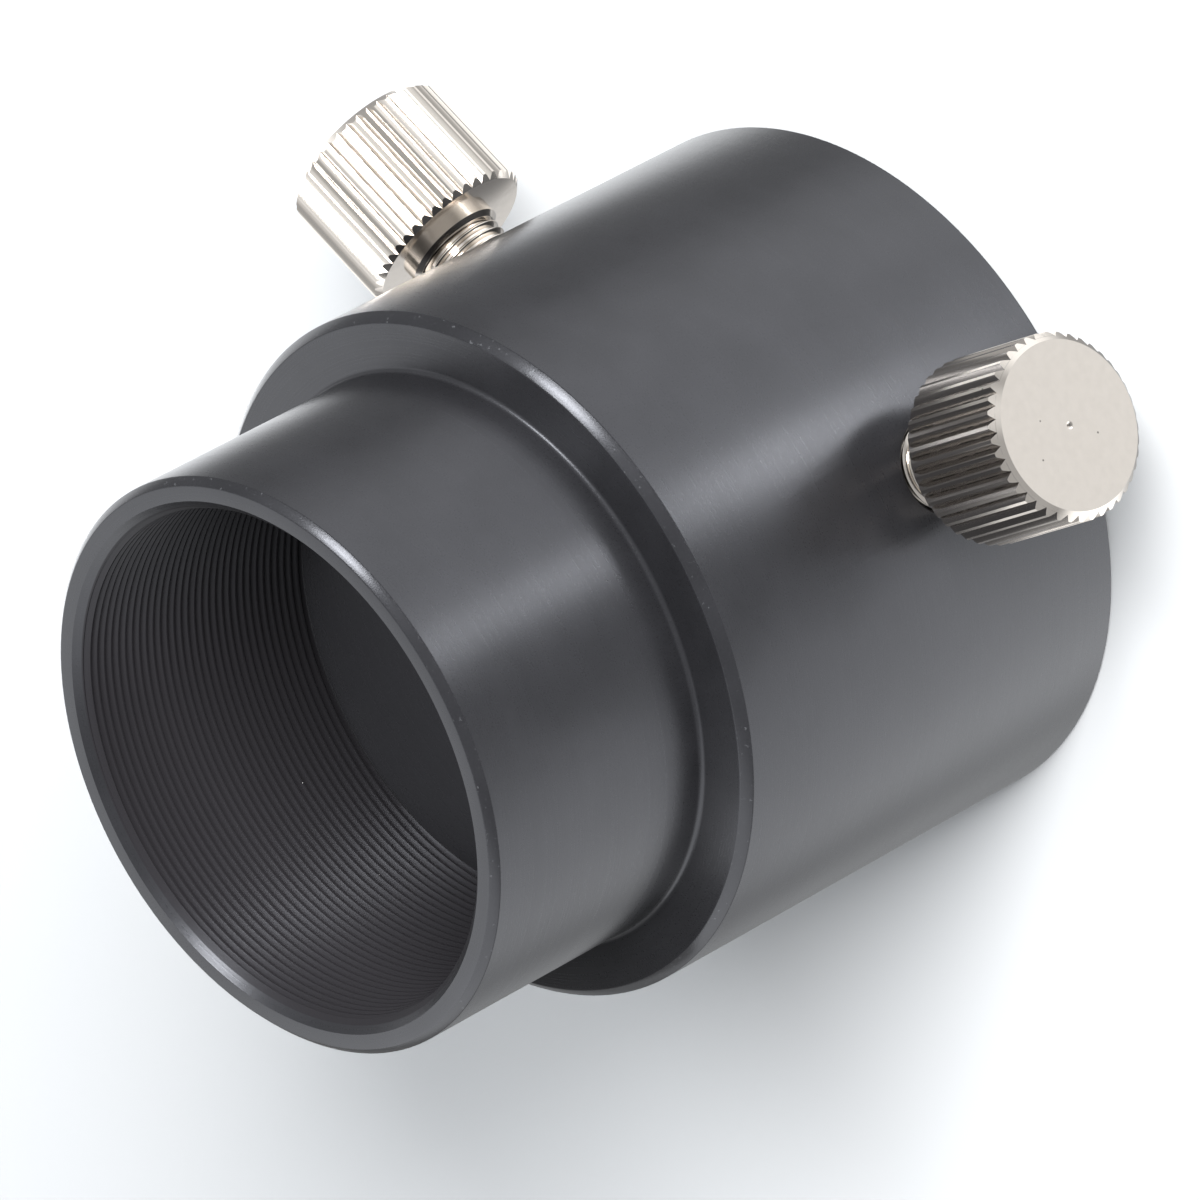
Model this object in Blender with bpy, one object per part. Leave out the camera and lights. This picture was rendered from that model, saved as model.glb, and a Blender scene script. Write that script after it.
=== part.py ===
# Extension tube for slim telescope eyepieces: one turned barrel and two knurled clamp screws.
# Metres, +Z up. The tube stands on the flat rear ring of its wide barrel, with the nose on top.
# The origin is the centre of that ring. -Y lies midway between the two clamp screws.

import bmesh
import bpy
from math import asin, cos, pi, radians, sin
from mathutils import Matrix, Vector

# Turned tube
NOSE_DIAMETER = 0.03175
NOSE_LENGTH = 0.015
NOSE_CHAMFER = 0.0004
BARREL_LENGTH = 0.0277
BARREL_CHAMFER = 0.0005
REAR_CHAMFER = 0.00015
ROOT_FILLET = 0.0003
THREAD_BORE_DIAMETER = 0.028
NOSE_MOUTH_DIAMETER = 0.0293
STOP_LEDGE_THICKNESS = 0.0015
EYEPIECE_DIAMETER = 0.03175
EYEPIECE_CLEARANCE = 0.00005
SOCKET_WALL = 0.003125
SOCKET_MOUTH_CHAMFER = 0.0004

# Clamp screws
SCREW_COUNT = 2
SCREW_HEIGHT = 0.0097
SCREW_SPACING = radians(120)
HEAD_STAND_OFF = 0.00295
HEAD_DIAMETER = 0.00985
HEAD_FACE_DIAMETER = 0.0089
HEAD_LENGTH = 0.0073
TOOTH_DEPTH = 0.0003
TOOTH_COUNT = 42
TOOTH_FLAT = 0.3
NECK_DIAMETER = 0.0056
NECK_LENGTH = 0.0009
SHANK_DIAMETER = 0.005
SHANK_LENGTH = 0.0056
TIP_CHAMFER = 0.0005
PIP_DIAMETER = 0.0006
PIP_FLOOR_DIAMETER = 0.0001
PIP_DEPTH = 0.00015

# Clearances and facets
THREAD_CLEARANCE = 0.0003
HOLE_COUNTERSINK = 0.0003
CUTTER_OVERRUN = 0.001
TUBE_STEPS = 120
HOLE_STEPS = 48
FILLET_STEPS = 3
SHARP_ANGLE = radians(28)
MERGE_DISTANCE = 1e-7

NOSE_RADIUS = NOSE_DIAMETER / 2
SOCKET_RADIUS = EYEPIECE_DIAMETER / 2 + EYEPIECE_CLEARANCE
BARREL_RADIUS = SOCKET_RADIUS + SOCKET_WALL
THREAD_BORE_RADIUS = THREAD_BORE_DIAMETER / 2
NOSE_MOUTH_RADIUS = NOSE_MOUTH_DIAMETER / 2
TUBE_LENGTH = BARREL_LENGTH + NOSE_LENGTH
SOCKET_DEPTH = BARREL_LENGTH - STOP_LEDGE_THICKNESS


def clear_scene():
    for thing in list(bpy.data.objects):
        bpy.data.objects.remove(thing, do_unlink=True)


def metal(name, color, roughness, metallic):
    finish = bpy.data.materials.new(name)
    finish.use_nodes = True
    shader = finish.node_tree.nodes["Principled BSDF"]
    shader.inputs["Base Color"].default_value = (*color, 1)
    shader.inputs["Roughness"].default_value = roughness
    shader.inputs["Metallic"].default_value = metallic
    finish.diffuse_color = (*color, 1)
    return finish


def make_object(name, bm, finish):
    mesh = bpy.data.meshes.new(name)
    bmesh.ops.recalc_face_normals(bm, faces=bm.faces)
    bm.to_mesh(mesh)
    bm.free()
    mesh.shade_smooth()
    mesh.set_sharp_from_angle(angle=SHARP_ANGLE)
    mesh.materials.append(finish)
    thing = bpy.data.objects.new(name, mesh)
    bpy.context.scene.collection.objects.link(thing)
    return thing


def spin_profile(points, steps):
    """A closed profile of (radius, height) points, turned once about Z."""
    bm = bmesh.new()
    corners = [bm.verts.new((radius, 0, height)) for radius, height in points]
    edges = [bm.edges.new((corner, corners[k - 1])) for k, corner in enumerate(corners)]
    bmesh.ops.spin(bm, geom=corners + edges, cent=(0, 0, 0), axis=(0, 0, 1),
                   angle=2 * pi, steps=steps, use_merge=True)
    bmesh.ops.remove_doubles(bm, verts=bm.verts, dist=MERGE_DISTANCE)
    return bm


def tube_profile():
    root_radius = NOSE_RADIUS + ROOT_FILLET
    root_height = BARREL_LENGTH + ROOT_FILLET
    root = [(root_radius - ROOT_FILLET * cos(turn), root_height - ROOT_FILLET * sin(turn))
            for turn in [k * pi / 2 / FILLET_STEPS for k in range(FILLET_STEPS + 1)]]
    outside = [
        (NOSE_RADIUS - NOSE_CHAMFER, TUBE_LENGTH),
        (NOSE_RADIUS, TUBE_LENGTH - NOSE_CHAMFER),
        *root,
        (BARREL_RADIUS - BARREL_CHAMFER, BARREL_LENGTH),
        (BARREL_RADIUS, BARREL_LENGTH - BARREL_CHAMFER),
        (BARREL_RADIUS, REAR_CHAMFER),
        (BARREL_RADIUS - REAR_CHAMFER, 0),
    ]
    inside = [
        (SOCKET_RADIUS + SOCKET_MOUTH_CHAMFER, 0),
        (SOCKET_RADIUS, SOCKET_MOUTH_CHAMFER),
        (SOCKET_RADIUS, SOCKET_DEPTH),
        (THREAD_BORE_RADIUS, SOCKET_DEPTH),
        (THREAD_BORE_RADIUS, TUBE_LENGTH - (NOSE_MOUTH_RADIUS - THREAD_BORE_RADIUS)),
        (NOSE_MOUTH_RADIUS, TUBE_LENGTH),
    ]
    return outside + inside


def screw_frame(index):
    """Local +Z of a clamp screw points straight out of the barrel, at right angles to its axis."""
    turn = -pi / 2 + (index - (SCREW_COUNT - 1) / 2) * SCREW_SPACING
    outward = Vector((cos(turn), sin(turn), 0))
    return Matrix.Translation((0, 0, SCREW_HEIGHT)) @ outward.to_track_quat("Z", "Y").to_matrix().to_4x4()


def drill_clamp_hole(tube, index):
    """One cross hole, with a light countersink where it leaves the barrel."""
    radius = SHANK_DIAMETER / 2 + THREAD_CLEARANCE
    mouth = BARREL_RADIUS - HOLE_COUNTERSINK
    end = BARREL_RADIUS + CUTTER_OVERRUN
    start = SOCKET_RADIUS * cos(asin(radius / SOCKET_RADIUS)) - CUTTER_OVERRUN
    bm = bmesh.new()
    sections = [(radius, start), (radius, mouth), (radius + end - mouth, end)]
    rings = []
    for ring_radius, height in sections:
        ring = []
        for k in range(HOLE_STEPS):
            turn = 2 * pi * (k + 0.5) / HOLE_STEPS
            ring.append(bm.verts.new((ring_radius * cos(turn), ring_radius * sin(turn), height)))
        rings.append(ring)
    join_rings(bm, rings)
    cutter = make_object(f"clamp_hole_cutter_{index + 1}", bm, tube.data.materials[0])
    cutter.matrix_world = screw_frame(index)
    cutter.hide_render = True
    cutter.display_type = "WIRE"
    cut = tube.modifiers.new(f"clamp_hole_{index + 1}", "BOOLEAN")
    cut.operation = "DIFFERENCE"
    cut.solver = "EXACT"
    cut.object = cutter


def join_rings(bm, rings):
    """Skins rings of equal length, bottom to top, and closes both ends."""
    for lower, upper in zip(rings, rings[1:]):
        for k in range(len(lower)):
            bm.faces.new((lower[k - 1], lower[k], upper[k], upper[k - 1]))
    bm.faces.new(rings[0])
    bm.faces.new(rings[-1])


def make_tube(finish):
    tube = make_object("tube", spin_profile(tube_profile(), TUBE_STEPS), finish)
    for index in range(SCREW_COUNT):
        drill_clamp_hole(tube, index)
    return tube


def knurl_outline():
    """Angle and radius of each corner of the straight knurl: two on a tooth's crest, one in a groove."""
    pitch = 2 * pi / TOOTH_COUNT
    crest = HEAD_DIAMETER / 2
    corners = []
    for k in range(TOOTH_COUNT):
        middle = k * pitch
        corners.append((middle - pitch * TOOTH_FLAT / 2, crest))
        corners.append((middle + pitch * TOOTH_FLAT / 2, crest))
        corners.append((middle + pitch / 2, crest - TOOTH_DEPTH))
    return corners


def make_clamp_screw(index, finish):
    """Tip at the bottom, knurled head on top; each chamfer cuts the teeth down to a round face."""
    outline = knurl_outline()
    under = BARREL_RADIUS + HEAD_STAND_OFF
    top = under + HEAD_LENGTH
    tip = under - SHANK_LENGTH
    face = HEAD_FACE_DIAMETER / 2
    shank = SHANK_DIAMETER / 2
    neck = NECK_DIAMETER / 2
    bm = bmesh.new()

    def round_ring(radius, height):
        return [bm.verts.new((radius * cos(turn), radius * sin(turn), height)) for turn, _ in outline]

    def toothed_ring(base, way):
        return [bm.verts.new((radius * cos(turn), radius * sin(turn), base + way * (radius - face)))
                for turn, radius in outline]

    join_rings(bm, [
        round_ring(shank - TIP_CHAMFER, tip),
        round_ring(shank, tip + TIP_CHAMFER),
        round_ring(shank, under - NECK_LENGTH),
        round_ring(neck, under - NECK_LENGTH + (neck - shank)),
        round_ring(neck, under),
        round_ring(face, under),
        toothed_ring(under, 1),
        toothed_ring(top, -1),
        round_ring(face, top),
        round_ring(PIP_DIAMETER / 2, top),
        round_ring(PIP_FLOOR_DIAMETER / 2, top - PIP_DEPTH),
    ])
    screw = make_object(f"clamp_screw_{index + 1}", bm, finish)
    screw.matrix_world = screw_frame(index)
    return screw


def main():
    clear_scene()
    make_tube(metal("black_anodised", (0.035, 0.035, 0.038), 0.38, 0.6))
    for index in range(SCREW_COUNT):
        make_clamp_screw(index, metal(f"nickel_plate_{index + 1}", (0.86, 0.83, 0.78), 0.16, 1))


main()
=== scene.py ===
from math import atan2, cos, hypot, pi, radians, sin

import bmesh
import bpy
from mathutils import Matrix, Vector


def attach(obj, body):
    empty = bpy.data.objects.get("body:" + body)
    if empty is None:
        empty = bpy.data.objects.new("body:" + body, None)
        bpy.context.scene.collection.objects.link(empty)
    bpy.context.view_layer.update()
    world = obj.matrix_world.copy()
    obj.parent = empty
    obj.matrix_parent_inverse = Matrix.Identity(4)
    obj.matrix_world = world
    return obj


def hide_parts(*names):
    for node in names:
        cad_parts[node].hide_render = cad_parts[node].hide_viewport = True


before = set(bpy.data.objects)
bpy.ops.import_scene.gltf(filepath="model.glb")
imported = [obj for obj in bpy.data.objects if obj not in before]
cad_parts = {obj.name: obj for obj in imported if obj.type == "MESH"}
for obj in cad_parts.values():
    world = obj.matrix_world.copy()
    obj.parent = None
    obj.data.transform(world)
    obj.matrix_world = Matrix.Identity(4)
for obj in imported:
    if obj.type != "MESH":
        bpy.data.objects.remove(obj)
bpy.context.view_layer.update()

mm = 0.001
mergeGap = 1e-6          # metres; the smallest that Merge by Distance takes
cutGap = 1e-7
sameSpot, sameLevel = 0.004, 0.002       # millimetres; nearer than this counts as the same corner, or height
smoothAll, sharpEdge = pi, pi / 6        # edges that bend more than this stay sharp


# selecting and drawing; sizes are in millimetres, meshes in metres

def makeActive(*things):
    bpy.ops.object.select_all(action="DESELECT")
    for thing in things:
        thing.select_set(True)
    bpy.context.view_layer.objects.active = things[0]


def pickVertices(piece, wanted):
    bpy.ops.mesh.select_mode(type="VERT")
    bpy.ops.mesh.select_all(action="DESELECT")
    mesh = bmesh.from_edit_mesh(piece.data)
    for corner in mesh.verts:
        corner.select = wanted(corner.co / mm)
    mesh.select_flush(True)
    bmesh.update_edit_mesh(piece.data)


def pickOpenEdges(piece, wanted):
    bpy.ops.mesh.select_mode(type="EDGE")
    bpy.ops.mesh.select_all(action="DESELECT")
    mesh = bmesh.from_edit_mesh(piece.data)
    for edge in mesh.edges:
        edge.select = edge.is_boundary and all(wanted(corner.co / mm) for corner in edge.verts)
    bmesh.update_edit_mesh(piece.data)


def drawLine(name, points):          # (radius, height) points, one extrude for each
    bpy.ops.object.select_all(action="DESELECT")
    bpy.ops.mesh.primitive_plane_add(size=mm)
    line = bpy.context.object
    line.name = line.data.name = name
    bpy.ops.object.mode_set(mode="EDIT")
    bpy.ops.mesh.select_mode(type="VERT")
    bpy.ops.mesh.select_all(action="SELECT")
    bpy.ops.mesh.merge(type="CENTER")
    here = Vector((0, 0, 0))
    places = [Vector((radius, 0, height)) * mm for radius, height in points]
    bpy.ops.transform.translate(value=places[0] - here)
    for here, there in zip(places, places[1:]):
        bpy.ops.mesh.extrude_region_move(TRANSFORM_OT_translate={"value": there - here})
    return line


def softenCorners(line, corners, width, segments=2):
    pickVertices(line, lambda place: any(hypot(place.x - radius, place.z - height) < sameSpot
                                         for radius, height in corners))
    bpy.ops.mesh.bevel(offset=width * mm, offset_type="OFFSET", segments=segments, affect="VERTICES")


def spinRound(steps):
    bpy.ops.mesh.select_all(action="SELECT")
    bpy.ops.mesh.spin(steps=steps, angle=2 * pi, center=(0, 0, 0), axis=(0, 0, 1))
    bpy.ops.mesh.select_all(action="SELECT")
    bpy.ops.mesh.remove_doubles(threshold=mergeGap)


def toothShape(s, way):              # (radius, share of the pitch) points; way is 1 in a bore, -1 on a shank
    crest, root = s["threadCrest"], s["threadRoot"]
    rounded = crest + way * s["crestRounding"]
    return list(zip((rounded, crest, crest, rounded, root, root), s["toothShares"]))


def cutThread(name, tooth, pitch, low, high, steps):
    start = low - pitch * 1.5        # runs past both ends, then both are cut flat
    points = [(radius, start + share * pitch) for radius, share in tooth]
    thread = drawLine(name, points + [(points[0][0], start + pitch)])
    bpy.ops.object.mode_set(mode="OBJECT")
    turning = thread.modifiers.new("threading", "SCREW")
    turning.angle = 2 * pi
    turning.screw_offset = pitch * mm
    turning.iterations = int((high - start) / pitch) + 2
    turning.steps = turning.render_steps = steps
    turning.use_merge_vertices = False
    bpy.ops.object.modifier_apply(modifier=turning.name)
    bpy.ops.object.mode_set(mode="EDIT")
    bpy.ops.mesh.select_all(action="SELECT")
    bpy.ops.mesh.remove_doubles(threshold=mergeGap)
    bpy.ops.mesh.select_all(action="SELECT")
    bpy.ops.mesh.bisect(plane_co=(0, 0, low * mm), plane_no=(0, 0, 1), clear_inner=True, threshold=cutGap)
    bpy.ops.mesh.select_all(action="SELECT")
    bpy.ops.mesh.bisect(plane_co=(0, 0, high * mm), plane_no=(0, 0, 1), clear_outer=True, threshold=cutGap)
    bpy.ops.object.mode_set(mode="OBJECT")
    return thread


def nextRing(piece, place):          # extrudes the open ring; place gives (radius, height) for a turn
    bpy.ops.mesh.extrude_region_move()
    mesh = bmesh.from_edit_mesh(piece.data)
    for corner in mesh.verts:
        if corner.select:
            turn = atan2(corner.co.y, corner.co.x)
            radius, height = place(turn)
            corner.co = (radius * cos(turn) * mm, radius * sin(turn) * mm, height * mm)
    bmesh.update_edit_mesh(piece.data)


def flareTo(piece, height, radius, steps, onTo=None):
    # carries the open edge at a height on to a plain, even ring
    pickOpenEdges(piece, lambda place: abs(place.z - height) < sameLevel)
    onTo = height if onTo is None else onTo
    bpy.ops.mesh.extrude_region_move()
    mesh = bmesh.from_edit_mesh(piece.data)
    for corner in mesh.verts:
        if corner.select:
            turn = round(atan2(corner.co.y, corner.co.x) * steps / (2 * pi)) * 2 * pi / steps
            corner.co = (radius * cos(turn) * mm, radius * sin(turn) * mm, onTo * mm)
    bmesh.update_edit_mesh(piece.data)


def mergeAll():
    bpy.ops.mesh.select_all(action="SELECT")
    bpy.ops.mesh.remove_doubles(threshold=mergeGap)


def finishMesh(piece, sharpAngle):
    bpy.ops.object.mode_set(mode="EDIT")
    bpy.ops.mesh.select_all(action="SELECT")
    bpy.ops.mesh.normals_make_consistent(inside=False)
    bpy.ops.object.mode_set(mode="OBJECT")
    makeActive(piece)
    bpy.ops.object.shade_smooth_by_angle(angle=sharpAngle)


# the turned tube

tubeSizes = {
    "noseRadius": 15.875, "noseTop": 42.7, "noseChamfer": 0.4, "rimMouthRadius": 14.65,
    "shoulder": 27.7, "rootFillet": 0.3,
    "barrelRadius": 19.05, "barrelChamfer": 0.5, "rearChamfer": 0.15,
    "socketRadius": 15.925, "socketMouth": 0.4, "ledge": 26.2,
    "threadPitch": 0.5, "threadCrest": 13.98, "threadRoot": 14.25, "crestRounding": 0.015,
    "toothShares": (0, 0.04, 0.21, 0.25, 0.5625, 0.6875),
    "ledgeCountersink": 0.2, "countersinkReach": 0.75,
    "holeRadius": 2.58, "holeMouth": 0.3, "holeOverrun": 1, "holeSteps": 64,
    "edgeSoftness": 0.05, "threadLip": 0.05, "filletSteps": 4, "turns": 192,
}


def makeTube():
    s = tubeSizes
    inner = s["threadRoot"] + s["threadLip"]
    top = s["noseTop"] - s["threadLip"]
    fillet = []
    for k in range(s["filletSteps"] + 1):
        turn = k * pi / 2 / s["filletSteps"]
        fillet.append((s["noseRadius"] + s["rootFillet"] * (1 - cos(turn)),
                       s["shoulder"] + s["rootFillet"] * (1 - sin(turn))))
    outerEdges = [
        (s["noseRadius"] - s["noseChamfer"], s["noseTop"]),
        (s["noseRadius"], s["noseTop"] - s["noseChamfer"]),
        (s["barrelRadius"] - s["barrelChamfer"], s["shoulder"]),
        (s["barrelRadius"], s["shoulder"] - s["barrelChamfer"]),
        (s["barrelRadius"], s["rearChamfer"]),
        (s["barrelRadius"] - s["rearChamfer"], 0),
        (s["socketRadius"] + s["socketMouth"], 0),
        (s["socketRadius"], s["socketMouth"]),
    ]
    outline = [(inner, top), (inner, s["noseTop"]), *outerEdges[:2], *fillet, *outerEdges[2:],
               (s["socketRadius"], s["ledge"]), (inner, s["ledge"])]
    tube = drawLine("lensTube", outline)
    softenCorners(tube, outerEdges, s["edgeSoftness"])
    spinRound(s["turns"])
    bpy.ops.object.mode_set(mode="OBJECT")
    thread = cutThread("noseThread", toothShape(s, 1), s["threadPitch"], s["ledge"], top, s["turns"])
    bpy.ops.object.mode_set(mode="EDIT")
    flareTo(thread, s["ledge"], inner, s["turns"])
    flareTo(thread, top, inner, s["turns"])
    bpy.ops.object.mode_set(mode="OBJECT")
    makeActive(tube, thread)
    bpy.ops.object.join()
    bpy.ops.object.mode_set(mode="EDIT")
    mergeAll()
    finishMesh(tube, smoothAll)
    return tube


def makeCutters():                   # both countersinks of the bore, and the two clamp holes
    s = tubeSizes
    deep = s["countersinkReach"]
    ledgeMouth = s["threadRoot"] + s["ledgeCountersink"]
    cutters = []
    for height, mouth, tilt in [(s["noseTop"], s["rimMouthRadius"], 0), (s["ledge"], ledgeMouth, pi)]:
        bpy.ops.object.select_all(action="DESELECT")
        bpy.ops.mesh.primitive_cone_add(vertices=s["turns"], radius1=(mouth - deep) * mm,
                                        radius2=(mouth + deep) * mm, depth=2 * deep * mm,
                                        location=(0, 0, height * mm), rotation=(tilt, 0, 0))
        cutters.append(bpy.context.object)
    over = s["holeOverrun"]
    for index in (1, 2):
        bpy.ops.object.select_all(action="DESELECT")
        bpy.ops.mesh.primitive_circle_add(vertices=s["holeSteps"], radius=s["holeRadius"] * mm,
                                          fill_type="NGON", location=(0, 0, (s["socketRadius"] - over) * mm))
        hole = bpy.context.object
        bpy.ops.object.transform_apply()
        bpy.ops.object.mode_set(mode="EDIT")
        bpy.ops.mesh.select_all(action="SELECT")
        mouth = s["barrelRadius"] - s["holeMouth"]
        for radius, height in [(s["holeRadius"], mouth),
                               (s["holeRadius"] + over + s["holeMouth"], s["barrelRadius"] + over)]:
            nextRing(hole, lambda turn: (radius, height))
        finishMesh(hole, smoothAll)
        hole.data.transform(screwFrame(index))
        cutters.append(hole)
    makeActive(*cutters)
    bpy.ops.object.join()
    cutter = bpy.context.object
    bpy.ops.object.transform_apply()
    return cutter


def cutAway(piece, cutter):
    makeActive(piece)
    cut = piece.modifiers.new("machining", "BOOLEAN")
    cut.operation = "DIFFERENCE"
    cut.solver = "EXACT"
    cut.object = cutter
    bpy.ops.object.modifier_apply(modifier=cut.name)
    bpy.data.objects.remove(cutter)


# the two clamp screws: one is modelled, the other is its copy

screwSizes = {
    "height": 9.7, "spacing": 2 * pi / 3, "under": 22.0, "top": 29.3, "tip": 16.4,
    "headRadius": 4.925, "faceRadius": 4.45, "underRadius": 4.62, "teeth": 42,
    "toothDepths": [0, 0, 0.085, 0.19, 0.29, 0.19, 0.085, 0],
    "neckRadius": 2.8, "neckLength": 0.75, "neckTaper": 0.3, "undercut": (0.08, 0.06, 0.03),
    "threadPitch": 0.5, "threadCrest": 2.5, "threadRoot": 2.2, "crestRounding": 0.01, "coreInset": 0.1,
    "toothShares": (0, 0.03, 0.095, 0.125, 0.4375, 0.6875), "tipChamfer": 0.4,
    "pipRadius": 0.16, "pipDepth": 0.1, "pipFloor": 0.02, "pipLip": 0.01,
    "faceInset": 0.6, "pipSurround": (0.1, 0.04),       # flat rings that keep smooth shading off the faces
}


def screwFrame(index):
    s = screwSizes
    turn = -pi / 2 + (index - 1.5) * s["spacing"]
    outward = Vector((cos(turn), sin(turn), 0))
    return Matrix.Translation((0, 0, s["height"] * mm)) @ outward.to_track_quat("Z", "Y").to_matrix().to_4x4()


def makeScrew():
    s = screwSizes
    perTooth = len(s["toothDepths"])
    corners = s["teeth"] * perTooth
    bpy.ops.object.select_all(action="DESELECT")
    bpy.ops.mesh.primitive_circle_add(vertices=corners, radius=s["underRadius"] * mm, fill_type="NOTHING",
                                      location=(0, 0, s["under"] * mm))
    screw = bpy.context.object
    screw.name = screw.data.name = "clampScrew1"
    bpy.ops.object.transform_apply()
    bpy.ops.object.mode_set(mode="EDIT")
    bpy.ops.mesh.select_all(action="SELECT")

    def knurled(base, flat, way):    # the ring where an end's 45 degree chamfer cuts the teeth
        def place(turn):
            number = round(turn * corners / (2 * pi)) % corners
            radius = s["headRadius"] - s["toothDepths"][number % perTooth]
            return radius, base + way * (radius - flat)
        return place

    def plain(radius, height):
        return lambda turn: (radius, height)

    wide, near = s["pipSurround"]
    for place in [knurled(s["under"], s["underRadius"], 1),
                  knurled(s["top"], s["faceRadius"], -1),
                  plain(s["faceRadius"], s["top"]),
                  plain(s["faceRadius"] - s["faceInset"], s["top"]),
                  plain(s["pipRadius"] + wide, s["top"]),
                  plain(s["pipRadius"] + near, s["top"]),
                  plain(s["pipRadius"], s["top"] - s["pipLip"]),
                  plain(s["pipFloor"], s["top"] - s["pipDepth"])]:
        nextRing(screw, place)
    bpy.ops.mesh.edge_face_add()
    pickOpenEdges(screw, lambda place: True)
    neckEnd = s["under"] - s["neckLength"]
    core = s["threadRoot"] - s["coreInset"]
    steps = corners // 2
    upper, lower, floorGap = s["undercut"]
    for place in [plain(s["faceRadius"] - s["faceInset"], s["under"]),
                  plain(s["neckRadius"], s["under"]),
                  plain(s["neckRadius"], neckEnd + s["neckTaper"]),
                  plain(s["threadCrest"], neckEnd + upper),
                  plain(s["threadCrest"], neckEnd + lower),
                  plain(core, neckEnd + floorGap)]:
        nextRing(screw, place)
    flareTo(screw, neckEnd + floorGap, core, steps, onTo=neckEnd)
    bpy.ops.object.mode_set(mode="OBJECT")

    crest = s["threadCrest"]
    thread = cutThread("clampThread", toothShape(s, -1), s["threadPitch"], s["tip"], neckEnd, steps)
    for corner in thread.data.vertices:          # the point is chamfered
        radius = hypot(corner.co.x, corner.co.y) / mm
        limit = crest - s["tipChamfer"] + corner.co.z / mm - s["tip"]
        if radius > limit:
            corner.co.x *= limit / radius
            corner.co.y *= limit / radius
    bpy.ops.object.mode_set(mode="EDIT")
    flareTo(thread, neckEnd, core, steps)
    pickOpenEdges(thread, lambda place: abs(place.z - s["tip"]) < sameLevel)
    bpy.ops.mesh.edge_face_add()
    bpy.ops.object.mode_set(mode="OBJECT")
    makeActive(screw, thread)
    bpy.ops.object.join()
    bpy.ops.object.mode_set(mode="EDIT")
    mergeAll()
    finishMesh(screw, smoothAll)
    return screw


def copyScrew(screw):
    other = bpy.data.objects.new("clampScrew2", screw.data.copy())
    bpy.context.scene.collection.objects.link(other)
    for piece, index in [(screw, 1), (other, 2)]:
        piece.data.transform(screwFrame(index))
    return [screw, other]


tube = makeTube()
print("tube turned:", len(tube.data.polygons), "faces")
cutAway(tube, makeCutters())
finishMesh(tube, sharpEdge)
print("tube machined:", len(tube.data.polygons), "faces")
screws = copyScrew(makeScrew())
for piece in screws:
    finishMesh(piece, sharpEdge)
print("clamp screws:", len(screws[0].data.polygons), "faces each")

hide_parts("tube")
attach(tube, "tube")
for index, piece in enumerate(screws, 1):
    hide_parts(f"clamp_screw_{index}")
    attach(piece, f"screw_{index}")


# finishes

class Nodes:                         # lays out one material, node by node
    def __init__(self, name):
        self.material = bpy.data.materials.new(name)
        self.material.use_nodes = True
        self.tree = self.material.node_tree
        self.shader = self.tree.nodes["Principled BSDF"]
        self.place = self.add("ShaderNodeTexCoord").outputs["Object"]

    def add(self, kind, **settings):
        node = self.tree.nodes.new(kind)
        for key, value in settings.items():
            setattr(node, key, value)
        return node

    def feed(self, socket, value):
        if isinstance(value, bpy.types.NodeSocket):
            self.tree.links.new(value, socket)
        else:
            socket.default_value = value

    def math(self, operation, *values):
        node = self.add("ShaderNodeMath", operation=operation)
        for number, value in enumerate(values):
            self.feed(node.inputs[number], value)
        return node.outputs[0]

    def steps(self, value, fromLow, fromHigh, toLow, toHigh):
        node = self.add("ShaderNodeMapRange", clamp=True)
        for key, number in zip(("Value", "From Min", "From Max", "To Min", "To Max"),
                               (value, fromLow, fromHigh, toLow, toHigh)):
            self.feed(node.inputs[key], number)
        return node.outputs[0]

    def noise(self, vector, size, detail=2.0, roughness=0.5):     # size of a grain in millimetres
        node = self.add("ShaderNodeTexNoise")
        self.feed(node.inputs["Vector"], vector)
        node.inputs["Scale"].default_value = 1 / (size * mm)
        node.inputs["Detail"].default_value = detail
        node.inputs["Roughness"].default_value = roughness
        return node.outputs["Fac"]

    def specks(self, vector, cell, radius, share):                # dots, none in this share of the cells
        node = self.add("ShaderNodeTexVoronoi", feature="F1")
        self.feed(node.inputs["Vector"], vector)
        node.inputs["Scale"].default_value = 1 / (cell * mm)
        dot = self.steps(node.outputs["Distance"], radius * 0.6, radius, 1, 0)
        pick = self.add("ShaderNodeSeparateColor")
        self.feed(pick.inputs[0], node.outputs["Color"])
        return self.math("MULTIPLY", dot, self.steps(pick.outputs[0], share, share + 0.01, 0, 1))

    def aroundAxis(self, vector):                                 # (distance from Z, 0, height)
        apart = self.add("ShaderNodeSeparateXYZ")
        self.feed(apart.inputs[0], vector)
        x, y, z = apart.outputs
        radius = self.math("SQRT", self.math("ADD", self.math("MULTIPLY", x, x), self.math("MULTIPLY", y, y)))
        together = self.add("ShaderNodeCombineXYZ")
        self.feed(together.inputs[0], radius)
        self.feed(together.inputs[2], z)
        return together.outputs[0], radius, z

    def above(self, value, limit, low, high):                     # fades in from limit + low to limit + high
        return self.steps(value, (limit + low) * mm, (limit + high) * mm, 0, 1)

    def below(self, value, limit, low, high):
        return self.steps(value, (limit + low) * mm, (limit + high) * mm, 1, 0)

    def crossed(self, axis, vector):                              # the way that a lathe tool travels round
        node = self.add("ShaderNodeVectorMath", operation="CROSS_PRODUCT")
        self.feed(node.inputs[0], axis)
        self.feed(node.inputs[1], vector)
        return node.outputs[0]

    def mixColour(self, share, first, second):
        node = self.add("ShaderNodeMix", data_type="RGBA")
        self.feed(node.inputs[0], share)
        self.feed(node.inputs[6], first)
        self.feed(node.inputs[7], second)
        return node.outputs[2]

    def bump(self, height, depth, normal=None):                   # depth in millimetres
        node = self.add("ShaderNodeBump")
        self.feed(node.inputs["Height"], height)
        node.inputs["Distance"].default_value = depth * mm
        node.inputs["Strength"].default_value = 1
        if normal is not None:
            self.feed(node.inputs["Normal"], normal)
        return node.outputs[0]

    def set(self, **values):
        for key, value in values.items():
            self.feed(self.shader.inputs[key.replace("_", " ")], value)


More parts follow.
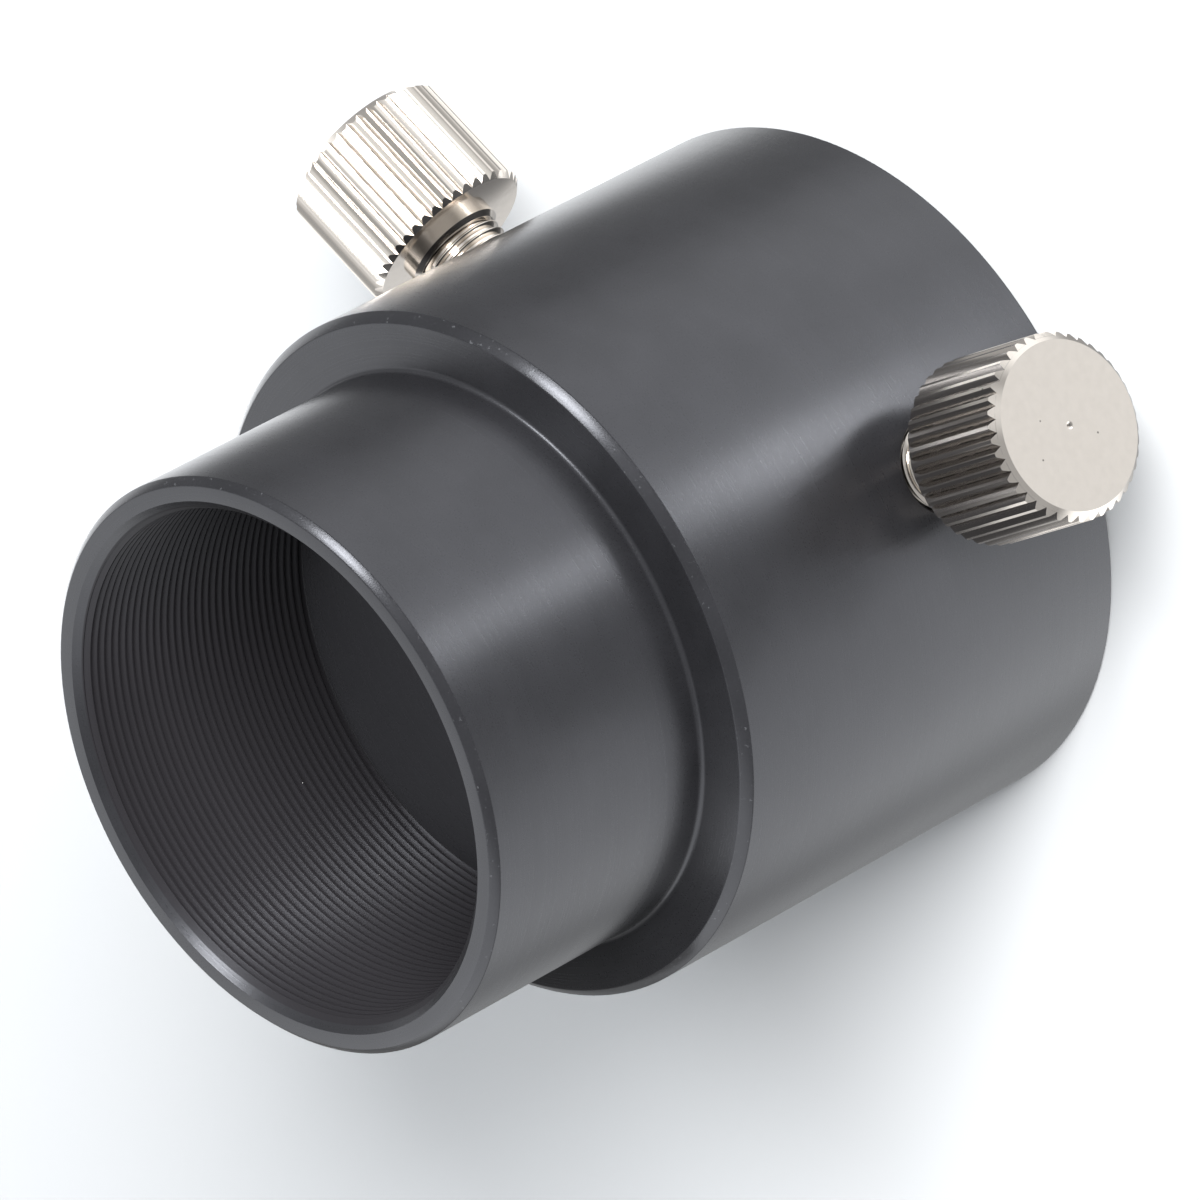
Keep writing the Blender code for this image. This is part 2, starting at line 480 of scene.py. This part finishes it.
anodised = {
    "colour": (0.0048, 0.0048, 0.0054, 1), "paler": (0.008, 0.008, 0.009, 1), "sheen": (0.93, 0.94, 1, 1),
    "dust": (0.75, 0.74, 0.72, 1), "bare": (0.04, 0.041, 0.044, 1), "bore": (0.0085, 0.008, 0.009, 1),
    "roughness": (0.26, 0.34), "edgeRoughness": -0.08, "boreRoughness": 0.1, "dustRoughness": 0.4,
    "gloss": 0.62, "boreGloss": 0.22, "spread": 0.5, "spreadTurn": 0.25,
    "grain": 0.09, "grainDepth": 0.0035, "turning": 0.07, "turningDepth": 0.0012,
    "cloud": 3.5, "wear": 0.25, "wearFrom": 0.66, "wearTo": 0.72, "wearMost": 0.7,
    "dustCell": 2.6, "dustSize": 0.016, "dustShare": 0.80,
}


def blackAnodised():
    a, s = anodised, tubeSizes
    n = Nodes("blackAnodised")
    lathe, radius, height = n.aroundAxis(n.place)
    grain = n.noise(n.place, a["grain"], 3, 0.6)
    turning = n.noise(lathe, a["turning"])
    cloud = n.noise(n.place, a["cloud"], 3)
    dust = n.specks(n.place, a["dustCell"], a["dustSize"], a["dustShare"])

    def onChamfer(outer, top, width):
        return n.math("MULTIPLY", n.above(radius, outer - width, -0.01, 0.03),
                      n.above(height, top - width, -0.02, 0.02))

    # inside the bore the finish is less glossy and rougher: painted shade that darkens the inner walls
    inBore = n.below(radius, s["threadRoot"], 0.02, 0.06)
    onEdge = n.math("MAXIMUM", onChamfer(s["noseRadius"], s["noseTop"], s["noseChamfer"]),
                    onChamfer(s["barrelRadius"], s["shoulder"], s["barrelChamfer"]))
    scuffs = n.steps(n.noise(n.place, a["wear"], 3), a["wearFrom"], a["wearTo"], 0, a["wearMost"])
    tone = n.mixColour(n.steps(n.math("ADD", cloud, grain), 0.7, 1.3, 0, 1), a["colour"], a["paler"])
    tone = n.mixColour(n.math("MULTIPLY", onEdge, scuffs), tone, a["bare"])
    tone = n.mixColour(inBore, tone, a["bore"])
    roughness = n.steps(n.math("ADD", grain, turning), 0.7, 1.3, *a["roughness"])
    for place, more in [(inBore, a["boreRoughness"]), (onEdge, a["edgeRoughness"]),
                        (dust, a["dustRoughness"])]:
        roughness = n.math("ADD", roughness, n.math("MULTIPLY", place, more))
    n.set(Base_Color=n.mixColour(dust, tone, a["dust"]), Metallic=0.0, Roughness=roughness,
          Specular_IOR_Level=n.steps(inBore, 0, 1, a["gloss"], a["boreGloss"]), Specular_Tint=a["sheen"],
          Anisotropic=a["spread"], Anisotropic_Rotation=a["spreadTurn"],
          Tangent=n.crossed((0, 0, 1), n.place),
          Normal=n.bump(turning, a["turningDepth"], n.bump(grain, a["grainDepth"])))
    return n.material


# the darkest colour paints shade in the grooves and in the pip, and dark dirt spots
nickel = {
    "colour": (0.775, 0.715, 0.648, 1), "darker": (0.70, 0.642, 0.575, 1), "shadeAndGrime": (0.12, 0.112, 0.105, 1),
    "roughness": (0.12, 0.17), "haze": 0.5, "hazeMost": 0.3, "scratch": 0.05, "scratchDepth": 0.0003,
    "shadeAndGrimePatch": 0.7, "shadeAndGrimeFrom": 0.42, "shadeAndGrimeTo": 0.56, "shadeAndGrimeRange": (0.05, 0.75),
    "spotCell": 0.9, "spotSize": 0.08, "spotShare": 0.75, "spotMost": 0.8,
}


def nickelPlate(index):
    a, s = nickel, screwSizes
    n = Nodes(f"nickelPlate{index}")
    local = n.add("ShaderNodeMapping", vector_type="TEXTURE")       # lays the pattern round the screw's axis
    frameHere = screwFrame(index)
    n.feed(local.inputs["Vector"], n.place)
    local.inputs["Location"].default_value = frameHere.translation
    local.inputs["Rotation"].default_value = frameHere.to_euler()
    place = local.outputs[0]
    lathe, radius, height = n.aroundAxis(place)
    haze = n.noise(place, a["haze"], 3)
    rings = n.noise(lathe, a["scratch"])
    # painted shade with grime lies in patches in the grooves between the teeth
    inHead = n.math("MULTIPLY", n.above(height, s["under"], 0.04, 0.1),
                    n.below(height, s["top"], -0.24, -0.19))
    inGroove = n.math("MULTIPLY", n.below(radius, s["headRadius"], -0.285, -0.24),
                      n.above(radius, s["faceRadius"], 0.02, 0.08))
    patches = n.steps(n.noise(place, a["shadeAndGrimePatch"]), a["shadeAndGrimeFrom"], a["shadeAndGrimeTo"], *a["shadeAndGrimeRange"])
    shadeAndGrime = n.math("MULTIPLY", n.math("MULTIPLY", inHead, inGroove), patches)
    spots = n.math("MULTIPLY", n.specks(place, a["spotCell"], a["spotSize"], a["spotShare"]), a["spotMost"])
    # painted shade: the pip at the centre of the face is darkened
    pip = n.steps(radius, s["pipRadius"] * 0.4 * mm, s["pipRadius"] * mm, a["spotMost"], 0)
    # dirt spots, with the painted shade of the grooves and of the pip
    dirtAndShade = n.math("MAXIMUM", shadeAndGrime, n.math("MAXIMUM", spots, pip))
    tone = n.mixColour(n.steps(haze, 0.35, 0.7, 0, a["hazeMost"]), a["colour"], a["darker"])
    n.set(Base_Color=n.mixColour(dirtAndShade, tone, a["shadeAndGrime"]), Metallic=1.0,
          Roughness=n.steps(n.math("ADD", haze, rings), 0.7, 1.3, *a["roughness"]),
          Normal=n.bump(rings, a["scratchDepth"]))
    return n.material


def dress(piece, material):
    piece.data.materials.clear()
    piece.data.materials.append(material)


dress(tube, blackAnodised())
for index, piece in enumerate(screws, 1):
    dress(piece, nickelPlate(index))
print("finishes: black anodised aluminium, nickel plate")


# the stage: a pale floor, the photograph's viewpoint, soft light

stageSettings = {
    "place": (-0.409889, -0.309702, 0.421182), "right": (-0.717768, 0.047249, -0.694677),
    "up": (0.300788, -0.878758, -0.370556), "lens": 376.446, "nearest": 0.01, "farthest": 20,
    "floorSize": 6.0, "floorHeight": -0.00002,
    "keyPlace": (-0.458, -0.631, 0.45), "keyAim": (0, 0, 0.01), "keySize": (0.44, 0.44), "keyPower": 37,
    "cardRadius": 16.4, "cardHeight": -0.00001, "cardGlow": 0.75,
    "flagPlace": (9, 26.5, 41.5), "flagSize": (46, 19), "flagSkirt": 13,
}


def placeCamera():
    s = stageSettings
    camera = bpy.data.objects.new("photoCamera", bpy.data.cameras.new("photoCamera"))
    bpy.context.scene.collection.objects.link(camera)
    camera.data.lens = s["lens"]
    camera.data.clip_start = s["nearest"]
    camera.data.clip_end = s["farthest"]
    right, up = Vector(s["right"]), Vector(s["up"])
    turned = Matrix((right, up, right.cross(up))).transposed().to_4x4()
    camera.matrix_world = Matrix.Translation(s["place"]) @ turned
    bpy.context.scene.camera = camera


def paint(name, grain, first, second, **values):        # a plain matt finish with a faint cloudiness
    n = Nodes(name)
    n.set(Base_Color=n.mixColour(n.noise(n.place, grain), (*first, 1), (*second, 1)), **values)
    return n.material


def layFloor():
    s = stageSettings
    bpy.ops.object.select_all(action="DESELECT")
    bpy.ops.mesh.primitive_plane_add(size=s["floorSize"], location=(0, 0, s["floorHeight"]))
    floor = bpy.context.object
    floor.name = "floor"
    dress(floor, paint("palePaper", 40, (0.36, 0.369, 0.378), (0.37, 0.377, 0.384),
                       Roughness=0.85, Specular_IOR_Level=0.2))
    # the floor only takes the shadow: the light tent goes all round, so that the tube has no black underside
    floor.visible_glossy = floor.visible_diffuse = floor.visible_shadow = False


tent = {
    "walls": 0.40, "tint": (0.96, 0.978, 1, 1),
    "lobes": [                       # direction, full inside so many degrees, none outside so many, how much
        ((0, 0, 1), 72, 95, 0.08),
        ((0.14, -0.72, 0.68), 3, 13, 22),
        ((0.14, -0.72, 0.68), 12, 38, 0.6),
        ((-0.10, 0.84, 0.53), 15, 48, 1.4),
        ((0.63, 0.475, 0.62), 10, 32, 1.15),
        ((0.95, 0.20, -0.25), 8, 30, 1.5),
        ((-0.16, -0.75, -0.64), 10, 51, 1.3),
        ((-0.42, -0.64, -0.64), 4, 20, 0.7),
        ((-0.55, -0.61, -0.56), 2, 9, 11.5),
        ((-0.765, -0.05, -0.64), 4, 20, 0.5),
        ((-0.58, 0.50, -0.64), 12, 42, 1.75),
        ((0.08, 0.78, -0.62), 6, 28, 0.4),
        ((0.75, 0.27, -0.58), 5, 22, 1.2),
    ],
}


def hangTent():
    world = bpy.data.worlds.new("lightTent")
    bpy.context.scene.world = world
    world.use_nodes = True
    tree = world.node_tree
    way = tree.nodes.new("ShaderNodeTexCoord").outputs["Generated"]
    total = tent["walls"]
    for direction, inner, outer, gain in tent["lobes"]:
        aim = tree.nodes.new("ShaderNodeVectorMath")
        aim.operation = "DOT_PRODUCT"
        tree.links.new(way, aim.inputs[0])
        aim.inputs[1].default_value = Vector(direction).normalized()
        fade = tree.nodes.new("ShaderNodeMapRange")
        fade.interpolation_type = "SMOOTHSTEP"
        tree.links.new(aim.outputs["Value"], fade.inputs["Value"])
        edges = (cos(radians(outer)), cos(radians(inner)), 0, gain)
        for key, number in zip(("From Min", "From Max", "To Min", "To Max"), edges):
            fade.inputs[key].default_value = number
        add = tree.nodes.new("ShaderNodeMath")
        if isinstance(total, float):
            add.inputs[1].default_value = total
        else:
            tree.links.new(total, add.inputs[1])
        tree.links.new(fade.outputs[0], add.inputs[0])
        total = add.outputs[0]
    background = tree.nodes["Background"]
    background.inputs["Color"].default_value = tent["tint"]
    tree.links.new(total, background.inputs["Strength"])


def hangKey():                       # only its shadow on the floor counts, the tent makes the reflections
    s = stageSettings
    lamp = bpy.data.lights.new("keyBox", "AREA")
    lamp.shape = "RECTANGLE"
    lamp.size, lamp.size_y = s["keySize"]
    lamp.energy = s["keyPower"]
    box = bpy.data.objects.new("keyBox", lamp)
    bpy.context.scene.collection.objects.link(box)
    box.location = s["keyPlace"]
    box.rotation_euler = (Vector(s["keyAim"]) - Vector(s["keyPlace"])).to_track_quat("-Z", "Y").to_euler()
    box.visible_camera = box.visible_glossy = False


def layRearCard():                   # gives the little light that comes into the socket from behind
    s = stageSettings
    bpy.ops.object.select_all(action="DESELECT")
    bpy.ops.mesh.primitive_circle_add(vertices=96, radius=s["cardRadius"] * mm, fill_type="NGON",
                                      location=(0, 0, s["cardHeight"]))
    rearCard = bpy.context.object
    rearCard.name = "rearCard"
    dress(rearCard, paint("paleGlow", 9, (0.02, 0.02, 0.02), (0.03, 0.03, 0.03),
                          Roughness=0.9, Emission_Color=(0.95, 0.95, 1, 1), Emission_Strength=s["cardGlow"]))


def hangFlag():                      # a dark card with a skirt; keeps the light off the shoulder's low side
    s = stageSettings
    bpy.ops.object.select_all(action="DESELECT")
    bpy.ops.mesh.primitive_plane_add(size=1, location=Vector(s["flagPlace"]) * mm)
    flag = bpy.context.object
    flag.name = "flag"
    width, depth = s["flagSize"]
    flag.scale = (width * mm, depth * mm, 1)
    bpy.ops.object.transform_apply(location=True, rotation=True, scale=True)
    farEdge = s["flagPlace"][1] + depth / 2
    bpy.ops.object.mode_set(mode="EDIT")
    pickOpenEdges(flag, lambda place: place.y > farEdge - 1)
    bpy.ops.mesh.extrude_region_move(TRANSFORM_OT_translate={"value": (0, 0, -s["flagSkirt"] * mm)})
    bpy.ops.object.mode_set(mode="OBJECT")
    dress(flag, paint("greyFlag", 9, (0.09, 0.09, 0.09), (0.11, 0.11, 0.11),
                      Roughness=0.9, Specular_IOR_Level=0.1))
    flag.visible_camera = flag.visible_diffuse = flag.visible_shadow = False


placeCamera()
layFloor()
hangTent()
hangKey()
layRearCard()
hangFlag()
bpy.context.scene.view_settings.view_transform = "Standard"
print("stage: floor, light tent, key light, rear card, flag")
